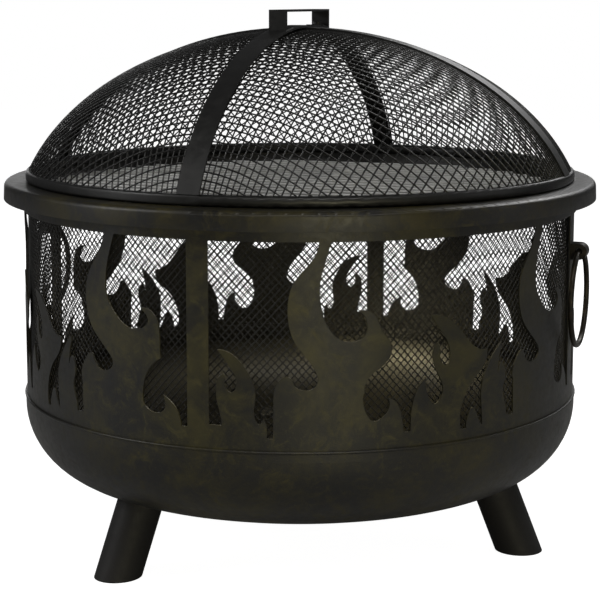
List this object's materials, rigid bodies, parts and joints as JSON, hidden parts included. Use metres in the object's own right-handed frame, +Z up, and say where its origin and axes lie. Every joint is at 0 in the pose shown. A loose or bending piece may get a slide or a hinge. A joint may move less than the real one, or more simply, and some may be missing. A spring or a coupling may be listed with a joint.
{
  "type": "fire pit",
  "caption": "Round steel fire pit with splayed tube legs, flame cut-out side panel, inner spark screen, wire cooking grate, domed mesh lid and hanging ring handles.",
  "frame": {"origin": "centre of the footprint on the ground", "axes": "+Z up, ring handles on +X and -X, the lid lifts along +Z"},
  "size_m": [0.6085, 0.6086, 0.549],
  "materials": {
    "bowl_enamel": "satin high-temperature enamel with a faint bronze mottle",
    "panel_enamel": "satin high-temperature enamel with a faint bronze mottle",
    "rim_enamel": "satin high-temperature enamel",
    "leg_paint": "satin black powder coat",
    "screen_wire": "fine woven wire, blackened",
    "lid_paint": "satin black high-temperature paint",
    "mesh_wire": "woven wire, blackened",
    "chrome_wire": "chromed steel wire",
    "antique_bronze": "dark antique bronze finish",
    "zinc_steel": "dull plated steel fasteners"
  },
  "bodies": {
    "pit": {"fire_bowl": "bowl_enamel", "leg_1": "leg_paint", "leg_2": "leg_paint", "leg_3": "leg_paint", "leg_bolts": "zinc_steel", "leg_nuts": "zinc_steel", "flame_panel": "panel_enamel", "spark_screen": "screen_wire", "screen_hem_top": "leg_paint", "screen_hem_bottom": "leg_paint", "top_rim": "rim_enamel", "handle_bracket_right": "antique_bronze", "handle_bracket_left": "antique_bronze"},
    "cooking_grate": {"grate_ring": "chrome_wire", "grate_bars": "chrome_wire", "grate_cross_wires": "chrome_wire"},
    "lid": {"lid_ring": "lid_paint", "lid_mesh": "mesh_wire", "lid_strap_lower": "lid_paint", "lid_strap_upper": "lid_paint", "lid_handle": "lid_paint", "lid_handle_bolts": "zinc_steel", "lid_handle_nuts": "zinc_steel"},
    "ring_handle_right": {"handle_ring_right": "antique_bronze"},
    "ring_handle_left": {"handle_ring_left": "antique_bronze"}
  },
  "joints": [
    {"name": "lid_lift", "type": "slide", "parent": "pit", "child": "lid", "axis": [0, 0, 1], "range_m": [0, 0.3]},
    {"name": "grate_lift", "type": "slide", "parent": "pit", "child": "cooking_grate", "axis": [0, 0, 1], "range_m": [0, 0.025]},
    {"name": "ring_handle_right_swing", "type": "hinge", "parent": "pit", "child": "ring_handle_right", "pos_m": [0.293, 0, 0.3125], "axis": [0, -1, 0], "range_deg": [-3, 150]},
    {"name": "ring_handle_left_swing", "type": "hinge", "parent": "pit", "child": "ring_handle_left", "pos_m": [-0.293, 0, 0.3125], "axis": [0, 1, 0], "range_deg": [-3, 150]}
  ]
}
